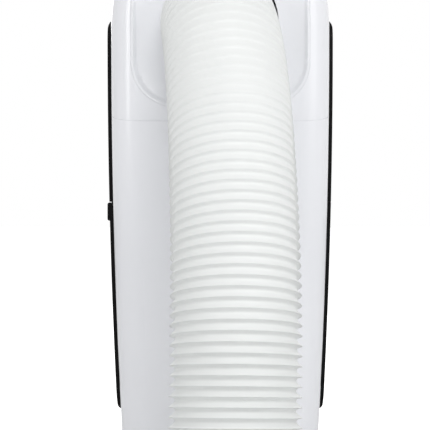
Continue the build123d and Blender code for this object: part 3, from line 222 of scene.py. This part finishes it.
tree.links.new(tone.outputs["Color"], shader.inputs["Base Color"])
gloss = add_node(tree, "ShaderNodeMapRange", {
    "Value": sheen.outputs["Fac"], "To Min": 0.42, "To Max": 0.55})
tree.links.new(gloss.outputs["Result"], shader.inputs["Roughness"])
finish_nodes(abs_black, "side_grille_upper_left", "side_grille_upper_right")
finish_nodes(abs_black, "side_grille_lower_right", "filter_door")
finish_nodes(abs_black, "grip_cup_left", "grip_cup_right", "control_panel")

# Grille tongue: the lower right grille laps into the one above it, so that no light shows through
# the split between them. Moulded with the grille, in its black ABS.
SPLIT_ABOVE = 0.368
SPLIT_GROOVE = 0.0003
SPLIT_GAP = 0.0009
grille_tongue = edge_tongue(
    "grille_tongue", "side_grille_lower_right", SPLIT_ABOVE, SPLIT_GROOVE, SPLIT_GAP, abs_black)
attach(grille_tongue, "casing")

# Dust filters: a thin nylon net welded into a ribbed frame behind each grille.
# The real net has about 1 mm between threads; it is drawn at 2 mm, which the render can show.
# A wave texture of scale 1 repeats every WAVE_REPEAT metres.
THREAD_SPACING = 0.002
THREAD_HEIGHT = 0.0004
WAVE_REPEAT = 0.314
nylon_net, tree, shader, place = new_material("woven_nylon_net")
net_scale = WAVE_REPEAT / THREAD_SPACING
warp = add_node(tree, "ShaderNodeTexWave", {
    "Vector": place, "Scale": net_scale}, bands_direction="Y")
weft = add_node(tree, "ShaderNodeTexWave", {
    "Vector": place, "Scale": net_scale}, bands_direction="Z")
weave = add_node(tree, "ShaderNodeMath", {
    0: warp.outputs["Fac"], 1: weft.outputs["Fac"]}, operation="MAXIMUM")
thread = add_node(tree, "ShaderNodeValToRGB", {"Fac": weave.outputs["Value"]})
thread.color_ramp.elements[0].position = 0.55
thread.color_ramp.elements[0].color = srgb("#0C0C0D")
thread.color_ramp.elements[1].position = 0.9
thread.color_ramp.elements[1].color = srgb("#2C2D30")
tree.links.new(thread.outputs["Color"], shader.inputs["Base Color"])
shader.inputs["Roughness"].default_value = 0.6
shader.inputs["IOR"].default_value = 1.53
bump = add_node(tree, "ShaderNodeBump", {
    "Height": weave.outputs["Value"], "Strength": 0.4, "Distance": THREAD_HEIGHT})
tree.links.new(bump.outputs["Normal"], shader.inputs["Normal"])
finish_nodes(nylon_net, "door_filter", "upper_filter_left", "filter_right")

# Base tray: dark grey polypropylene with a spark-eroded grain, screwed under the covers. The grain
# breaks up its gloss. The real grit is about 0.4 mm; it is drawn at 0.8 mm so that it shows.
TRAY_GRIT = 0.0008
TRAY_GRIT_HEIGHT = 0.0003
grained_pp, tree, shader, place = new_material("grained_polypropylene")
grain = add_node(tree, "ShaderNodeTexNoise", {
    "Vector": place, "Scale": 1 / TRAY_GRIT, "Detail": 2.0})
bump = add_node(tree, "ShaderNodeBump", {
    "Height": grain.outputs["Fac"], "Strength": 0.35, "Distance": TRAY_GRIT_HEIGHT})
tree.links.new(bump.outputs["Normal"], shader.inputs["Normal"])
tone = add_node(tree, "ShaderNodeValToRGB", {"Fac": grain.outputs["Fac"]})
tone.color_ramp.elements[0].color = srgb("#3A3B3E")
tone.color_ramp.elements[1].color = srgb("#4A4B4F")
tree.links.new(tone.outputs["Color"], shader.inputs["Base Color"])
shader.inputs["Roughness"].default_value = 0.5
shader.inputs["IOR"].default_value = 1.49
finish_nodes(grained_pp, "base_tray")

# Castors: moulded black nylon forks with a riveted axle, pushed into sockets of the tray, and nylon
# wheels. The floor has scuffed them, which greys the black in small patches.
SCUFF_SIZE = 0.0045
nylon_black, tree, shader, place = new_material("moulded_nylon_black")
scuff = add_node(tree, "ShaderNodeTexNoise", {
    "Vector": place, "Scale": 1 / SCUFF_SIZE, "Detail": 5.0, "Roughness": 0.65})
tone = add_node(tree, "ShaderNodeValToRGB", {"Fac": scuff.outputs["Fac"]})
tone.color_ramp.elements[0].color = srgb("#161617")
tone.color_ramp.elements[1].position = 0.8
tone.color_ramp.elements[1].color = srgb("#343436")
tree.links.new(tone.outputs["Color"], shader.inputs["Base Color"])
gloss = add_node(tree, "ShaderNodeMapRange", {
    "Value": scuff.outputs["Fac"], "To Min": 0.34, "To Max": 0.5})
tree.links.new(gloss.outputs["Result"], shader.inputs["Roughness"])
shader.inputs["IOR"].default_value = 1.53
for corner in ("front_left", "front_right", "rear_left", "rear_right"):
    finish_nodes(nylon_black, "castor_fork_" + corner, "castor_wheel_" + corner)

# Display window: smoked acrylic, flame polished, bonded flush into the control panel.
# It is nearly black and mirrors the room, with faint smears from wiping.
SMEAR_SIZE = 0.011
acrylic, tree, shader, place = new_material("smoked_acrylic")
smear = add_node(tree, "ShaderNodeTexNoise", {
    "Vector": place, "Scale": 1 / SMEAR_SIZE, "Detail": 4.0})
gloss = add_node(tree, "ShaderNodeMapRange", {
    "Value": smear.outputs["Fac"], "To Min": 0.04, "To Max": 0.10})
tree.links.new(gloss.outputs["Result"], shader.inputs["Roughness"])
tone = add_node(tree, "ShaderNodeValToRGB", {"Fac": smear.outputs["Fac"]})
tone.color_ramp.elements[0].color = srgb("#0A0B0E")
tone.color_ramp.elements[1].color = srgb("#14161B")
tree.links.new(tone.outputs["Color"], shader.inputs["Base Color"])
shader.inputs["IOR"].default_value = 1.49
finish_nodes(acrylic, "display_window")

# Push buttons: moulded grey ABS caps that stand through the control panel on the board's switches.
# Their satin crowns are rubbed a little by fingers.
RUB_SIZE = 0.0025
abs_grey, tree, shader, place = new_material("satin_abs_grey")
rub = add_node(tree, "ShaderNodeTexNoise", {"Vector": place, "Scale": 1 / RUB_SIZE, "Detail": 3.0})
tone = add_node(tree, "ShaderNodeValToRGB", {"Fac": rub.outputs["Fac"]})
tone.color_ramp.elements[0].color = srgb("#9A9CA0")
tone.color_ramp.elements[1].color = srgb("#ABADB1")
tree.links.new(tone.outputs["Color"], shader.inputs["Base Color"])
gloss = add_node(tree, "ShaderNodeMapRange", {
    "Value": rub.outputs["Fac"], "To Min": 0.34, "To Max": 0.46})
tree.links.new(gloss.outputs["Result"], shader.inputs["Roughness"])
shader.inputs["IOR"].default_value = 1.53
finish_nodes(abs_grey, "button_power", "button_mode", "button_fan", "button_down", "button_up")

# Circuit board: glass-epoxy laminate under a green solder mask, hung on posts below the control
# panel. The copper tracks show through the mask as lighter lines, about 3 mm apart.
TRACK_SPACING = 0.0033
laminate, tree, shader, place = new_material("solder_masked_laminate")
tracks = add_node(tree, "ShaderNodeTexVoronoi", {
    "Vector": place, "Scale": 1 / TRACK_SPACING}, distance="MANHATTAN")
tone = add_node(tree, "ShaderNodeValToRGB", {"Fac": tracks.outputs["Distance"]})
tone.color_ramp.elements[0].color = srgb("#1C5A33")
tone.color_ramp.elements[1].color = srgb("#123F24")
tree.links.new(tone.outputs["Color"], shader.inputs["Base Color"])
shader.inputs["Roughness"].default_value = 0.35
shader.inputs["IOR"].default_value = 1.55
finish_nodes(laminate, "control_board")

# Rubber pieces: the ring at the hose outlet, the drain plug and the compressor feet, all pressed
# on. Black moulded rubber with a dull, slightly bloomed skin.
BLOOM_SIZE = 0.002
rubber, tree, shader, place = new_material("moulded_rubber_black")
bloom = add_node(tree, "ShaderNodeTexNoise", {
    "Vector": place, "Scale": 1 / BLOOM_SIZE, "Detail": 4.0})
tone = add_node(tree, "ShaderNodeValToRGB", {"Fac": bloom.outputs["Fac"]})
tone.color_ramp.elements[0].color = srgb("#0E0E0F")
tone.color_ramp.elements[1].color = srgb("#232324")
tree.links.new(tone.outputs["Color"], shader.inputs["Base Color"])
shader.inputs["Roughness"].default_value = 0.7
shader.inputs["IOR"].default_value = 1.52
finish_nodes(rubber, "outlet_seal", "drain_plug", "compressor_feet")

# Inner mouldings: middle tray, blower housings, exhaust duct, outlet spigot and louvre link in
# plain grey polypropylene, as moulded, with slight flow marks some 40 mm across.
FLOW_MARK_SIZE = 0.04
pp_grey, tree, shader, place = new_material("plain_polypropylene_grey")
marks = add_node(tree, "ShaderNodeTexNoise", {
    "Vector": place, "Scale": 1 / FLOW_MARK_SIZE, "Detail": 4.0, "Distortion": 1.5})
tone = add_node(tree, "ShaderNodeValToRGB", {"Fac": marks.outputs["Fac"]})
tone.color_ramp.elements[0].color = srgb("#B4B6B6")
tone.color_ramp.elements[1].color = srgb("#C6C8C8")
tree.links.new(tone.outputs["Color"], shader.inputs["Base Color"])
shader.inputs["Roughness"].default_value = 0.45
shader.inputs["IOR"].default_value = 1.49
finish_nodes(pp_grey, "drain_pan", "cold_blower_housing", "hot_blower_housing", "exhaust_duct")
finish_nodes(pp_grey, "exhaust_outlet", "louvre_link")

# Fan wheels: black glass-filled plastic, moulded in one and pressed on the motor shafts.
# The fibres give it a slightly rough, flecked skin. Real ones are 0.3 mm long; they are drawn at
# 1.4 mm so that they show.
FIBRE_SIZE = 0.0014
fan_plastic, tree, shader, place = new_material("glass_filled_plastic_black")
fibre = add_node(tree, "ShaderNodeTexNoise", {
    "Vector": place, "Scale": 1 / FIBRE_SIZE, "Detail": 3.0})
tone = add_node(tree, "ShaderNodeValToRGB", {"Fac": fibre.outputs["Fac"]})
tone.color_ramp.elements[0].color = srgb("#1B1B1C")
tone.color_ramp.elements[1].color = srgb("#303031")
tree.links.new(tone.outputs["Color"], shader.inputs["Base Color"])
shader.inputs["Roughness"].default_value = 0.55
shader.inputs["IOR"].default_value = 1.56
finish_nodes(fan_plastic, "cold_blower_wheel", "hot_blower_wheel")

# Motors and electrical box: drawn and folded steel with bright zinc plating, screwed to their
# housings. The plating shows pale crystals about 6 mm across.
SPANGLE_SIZE = 0.006
zinc, tree, shader, place = new_material("zinc_plated_steel")
spangle = add_node(tree, "ShaderNodeTexVoronoi", {"Vector": place, "Scale": 1 / SPANGLE_SIZE})
tone = add_node(tree, "ShaderNodeValToRGB", {"Fac": spangle.outputs["Distance"]})
tone.color_ramp.elements[0].color = srgb("#B9BCC0")
tone.color_ramp.elements[1].color = srgb("#CDD0D3")
tree.links.new(tone.outputs["Color"], shader.inputs["Base Color"])
shader.inputs["Metallic"].default_value = 1.0
shader.inputs["Roughness"].default_value = 0.32
finish_nodes(zinc, "cold_blower_motor", "hot_blower_motor", "louvre_motor", "electrical_box")

# Heat exchangers: stacks of thin aluminium fins on copper tubes. The real fins are 1.5 mm apart,
# and are drawn so: bright aluminium fin edges, with painted shade as the dark gaps between them
# across the blocks.
FIN_SPACING = 0.0015
fins, tree, shader, place = new_material("aluminium_fins")
fin_edges_and_gap_shade = add_node(tree, "ShaderNodeTexWave", {
    "Vector": place, "Scale": WAVE_REPEAT / FIN_SPACING}, bands_direction="Y")
tone = add_node(tree, "ShaderNodeValToRGB", {"Fac": fin_edges_and_gap_shade.outputs["Fac"]})
# The dark colour is painted shade in the gaps between the fins; the light one is the aluminium of
# the fin edges.
tone.color_ramp.elements[0].color = srgb("#6E7073")
tone.color_ramp.elements[1].color = srgb("#D8DADC")
tree.links.new(tone.outputs["Color"], shader.inputs["Base Color"])
shader.inputs["Metallic"].default_value = 1.0
shader.inputs["Roughness"].default_value = 0.4
finish_nodes(fins, "condenser_coil", "evaporator_coil")

# Compressor: a welded steel can with its suction tank, under black stove enamel.
# The enamel is glossy, with soft runs some 25 mm long.
RUN_SIZE = 0.025
enamel, tree, shader, place = new_material("black_stove_enamel")
runs = add_node(tree, "ShaderNodeTexNoise", {"Vector": place, "Scale": 1 / RUN_SIZE, "Detail": 3.0})
gloss = add_node(tree, "ShaderNodeMapRange", {
    "Value": runs.outputs["Fac"], "To Min": 0.18, "To Max": 0.35})
tree.links.new(gloss.outputs["Result"], shader.inputs["Roughness"])
tone = add_node(tree, "ShaderNodeValToRGB", {"Fac": runs.outputs["Fac"]})
tone.color_ramp.elements[0].color = srgb("#0D0D0E")
tone.color_ramp.elements[1].color = srgb("#19191A")
tree.links.new(tone.outputs["Color"], shader.inputs["Base Color"])
finish_nodes(enamel, "compressor")

# Refrigerant pipes: bare drawn copper, bent and brazed between compressor and heat exchangers.
# It is browned a little by handling, in patches about 12 mm across.
TARNISH_SIZE = 0.0125
bare_copper, tree, shader, place = new_material("drawn_copper")
tarnish = add_node(tree, "ShaderNodeTexNoise", {
    "Vector": place, "Scale": 1 / TARNISH_SIZE, "Detail": 4.0})
tone = add_node(tree, "ShaderNodeValToRGB", {"Fac": tarnish.outputs["Fac"]})
tone.color_ramp.elements[0].color = srgb("#A5653F")
tone.color_ramp.elements[1].color = srgb("#D9966F")
tree.links.new(tone.outputs["Color"], shader.inputs["Base Color"])
shader.inputs["Metallic"].default_value = 1.0
shader.inputs["Roughness"].default_value = 0.3
finish_nodes(bare_copper, "discharge_pipe", "suction_pipe", "capillary_tube")

# Exhaust hose: a thin-walled white polypropylene bellows, pushed over the collar at the outlet and
# over the sleeve of the end ring on the floor. It is cloudy white and softly glossy. As it hangs,
# its folds are pulled nearly flat in the upper bend and stay deep near the floor.
HOSE_CREST_R = 0.0725
FOLD_PULLED = 0.0012
FOLD_CLOSED = 0.0072
FOLD_SAG = 0.6
PULLED_TO = 0.22
CLOSED_FROM = 0.55
RIB_PITCH = 0.0109
RIB_STEPS = 10
RING_STEPS = 96
ROUTE_STEPS = 40
HOSE_CLOUD_SIZE = 0.055
ACROSS = Vector((1.0, 0.0, 0.0))
HOSE_ROUTE = [
    (0.001, 0.116, 0.598), (0.003, 0.156, 0.598), (0.002, 0.191, 0.588), (-0.002, 0.223, 0.565),
    (-0.0065, 0.253, 0.525), (-0.011, 0.285, 0.462), (-0.014, 0.317, 0.383), (-0.016, 0.343, 0.303),
    (-0.016, 0.363, 0.220), (-0.015, 0.378, 0.126), (-0.015, 0.388, 0.072), (-0.015, 0.388, 0.031),
]


def spline_points(route, steps):
    """Points read from the smooth spline that has the route as its control points."""
    curve = bpy.data.curves.new("hose_route", "CURVE")
    curve.dimensions = "3D"
    spline = curve.splines.new("NURBS")
    spline.points.add(len(route) - 1)
    for point, spot in zip(spline.points, route):
        point.co = (*spot, 1.0)
    spline.order_u = 3
    spline.use_endpoint_u = True
    spline.resolution_u = steps
    holder = bpy.data.objects.new("hose_route", curve)
    mesh = bpy.data.meshes.new_from_object(holder)
    points = [vertex.co.copy() for vertex in mesh.vertices]
    bpy.data.objects.remove(holder)
    bpy.data.curves.remove(curve)
    bpy.data.meshes.remove(mesh)
    return points


def even_stations(points, spacing):
    """Places at about this spacing along points, with their direction and the length so far."""
    lengths = [0.0]
    for a, b in zip(points, points[1:]):
        lengths.append(lengths[-1] + (b - a).length)
    count = round(lengths[-1] / spacing)
    stations = []
    leg = 0
    for index in range(count + 1):
        goal = lengths[-1] * index / count
        while leg < len(points) - 2 and lengths[leg + 1] < goal:
            leg += 1
        run = points[leg + 1] - points[leg]
        part = (goal - lengths[leg]) / run.length
        stations.append((points[leg].lerp(points[leg + 1], part), run.normalized(), goal))
    return stations


pp_white, tree, shader, place = new_material("thin_polypropylene_white")
cloud = add_node(tree, "ShaderNodeTexNoise", {
    "Vector": place, "Scale": 1 / HOSE_CLOUD_SIZE, "Detail": 4.0})
tone = add_node(tree, "ShaderNodeValToRGB", {"Fac": cloud.outputs["Fac"]})
tone.color_ramp.elements[0].color = srgb("#EEF0EF")
tone.color_ramp.elements[1].color = srgb("#F3F5F4")
tree.links.new(tone.outputs["Color"], shader.inputs["Base Color"])
shader.inputs["Roughness"].default_value = 0.4
shader.inputs["IOR"].default_value = 1.49

bellows = bmesh.new()
rings = []
stations = even_stations(spline_points(HOSE_ROUTE, ROUTE_STEPS), RIB_PITCH / RIB_STEPS)
for index, (centre, along, reached) in enumerate(stations):
    phase = (index % RIB_STEPS) / RIB_STEPS
    closed = min(max((reached - PULLED_TO) / (CLOSED_FROM - PULLED_TO), 0.0), 1.0)
    fold = FOLD_PULLED + (FOLD_CLOSED - FOLD_PULLED) * closed
    radius = HOSE_CREST_R - fold * math.sin(math.pi * phase ** FOLD_SAG)
    side = (ACROSS - along * ACROSS.dot(along)).normalized()
    other = along.cross(side)
    ring = []
    for spoke in range(RING_STEPS):
        turn = 2 * math.pi * spoke / RING_STEPS
        out = side * math.cos(turn) + other * math.sin(turn)
        ring.append(bellows.verts.new(centre + out * radius))
    rings.append(ring)
for near, far in zip(rings, rings[1:]):
    for spoke in range(RING_STEPS):
        after = (spoke + 1) % RING_STEPS
        bellows.faces.new((near[spoke], near[after], far[after], far[spoke]))
hose = mesh_piece("hose_bellows", bellows, pp_white)
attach(hose, "casing")
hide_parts("exhaust_hose")
finish_nodes(pp_white, "hose_connector", "hose_end_connector")

# Studio: a pale matt floor that runs out of sight and reads white to the camera, keeping the soft
# shadow, under a white room that also shows in reflections.
FLOOR_HALF = 30.0
FLOOR_LIFT = 0.72
ROOM_LIGHT = 0.54
ROOM_SEEN = 1.0
WHITE = (1.0, 1.0, 1.0, 1.0)
floor_mesh = bmesh.new()
bmesh.ops.create_grid(floor_mesh, x_segments=2, y_segments=2, size=FLOOR_HALF)
pale_floor, tree, shader, place = new_material("pale_studio_floor")
shader.inputs["Base Color"].default_value = srgb("#E6E6E6")
shader.inputs["Roughness"].default_value = 0.9
ray = add_node(tree, "ShaderNodeLightPath")
shader.inputs["Emission Color"].default_value = WHITE
lift = add_node(tree, "ShaderNodeMath", {
    0: ray.outputs["Is Camera Ray"], 1: FLOOR_LIFT}, operation="MULTIPLY")
tree.links.new(lift.outputs["Value"], shader.inputs["Emission Strength"])
floor = mesh_piece("studio_floor", floor_mesh, pale_floor)

world = bpy.data.worlds.new("white_studio")
scene.world = world
world.use_nodes = True
room = world.node_tree
ray = add_node(room, "ShaderNodeLightPath").outputs
seen = add_node(room, "ShaderNodeMath", {
    0: ray["Is Camera Ray"], 1: ray["Is Glossy Ray"]}, operation="MAXIMUM")
seen = add_node(room, "ShaderNodeMath", {
    0: seen.outputs["Value"], 1: ray["Is Transmission Ray"]}, operation="MAXIMUM")
level = add_node(room, "ShaderNodeMapRange", {
    "Value": seen.outputs["Value"], "To Min": ROOM_LIGHT, "To Max": ROOM_SEEN})
back = room.nodes["Background"]
back.inputs["Color"].default_value = WHITE
room.links.new(level.outputs["Result"], back.inputs["Strength"])

# Lamps: three soft boxes behind the machine, on the side that the camera sees, and one in front for
# the other views. They are kept low enough that the white plastics don't clip.
BACK_MIDDLE = (0.0, 0.2, 0.5)
FRONT_MIDDLE = (0.0, -0.1, 0.4)


def soft_box(name, spot, aim, size, watts):
    """Studio lamp of a given width and height that points at a spot."""
    lamp = bpy.data.lights.new(name, "AREA")
    lamp.shape = "RECTANGLE"
    lamp.size, lamp.size_y = size
    lamp.energy = watts
    box = bpy.data.objects.new(name, lamp)
    box.location = spot
    box.rotation_euler = (Vector(aim) - Vector(spot)).to_track_quat("-Z", "Y").to_euler()
    scene.collection.objects.link(box)


soft_box("key", (-0.5, 2.45, 1.9), BACK_MIDDLE, (1.0, 1.0), 17.0)
soft_box("left_strip", (1.55, 1.45, 1.15), (0.0, 0.15, 0.5), (0.4, 1.1), 6.0)
soft_box("right_fill", (-1.7, 1.5, 1.3), BACK_MIDDLE, (1.3, 1.3), 9.5)
soft_box("front_fill", (0.5, -2.4, 1.6), FRONT_MIDDLE, (1.3, 1.3), 20.0)

# Camera: level, straight at the back of the machine, with a long lens as in the photograph.
# The focal length was found in pixels of its frame, and is turned into millimetres here.
LENS_PIXELS = 1130.0
FRAME_PIXELS = 430.0
SENSOR_MM = 36.0
CAMERA_SPOT = (0.0068, 1.593, 0.352)
camera = bpy.data.cameras.new("camera")
camera.sensor_width = SENSOR_MM
camera.lens = LENS_PIXELS / FRAME_PIXELS * SENSOR_MM
viewer = bpy.data.objects.new("camera", camera)
viewer.location = CAMERA_SPOT
viewer.rotation_euler = (math.pi / 2, 0.0, math.pi)
scene.collection.objects.link(viewer)
scene.camera = viewer
scene.view_settings.view_transform = "Standard"
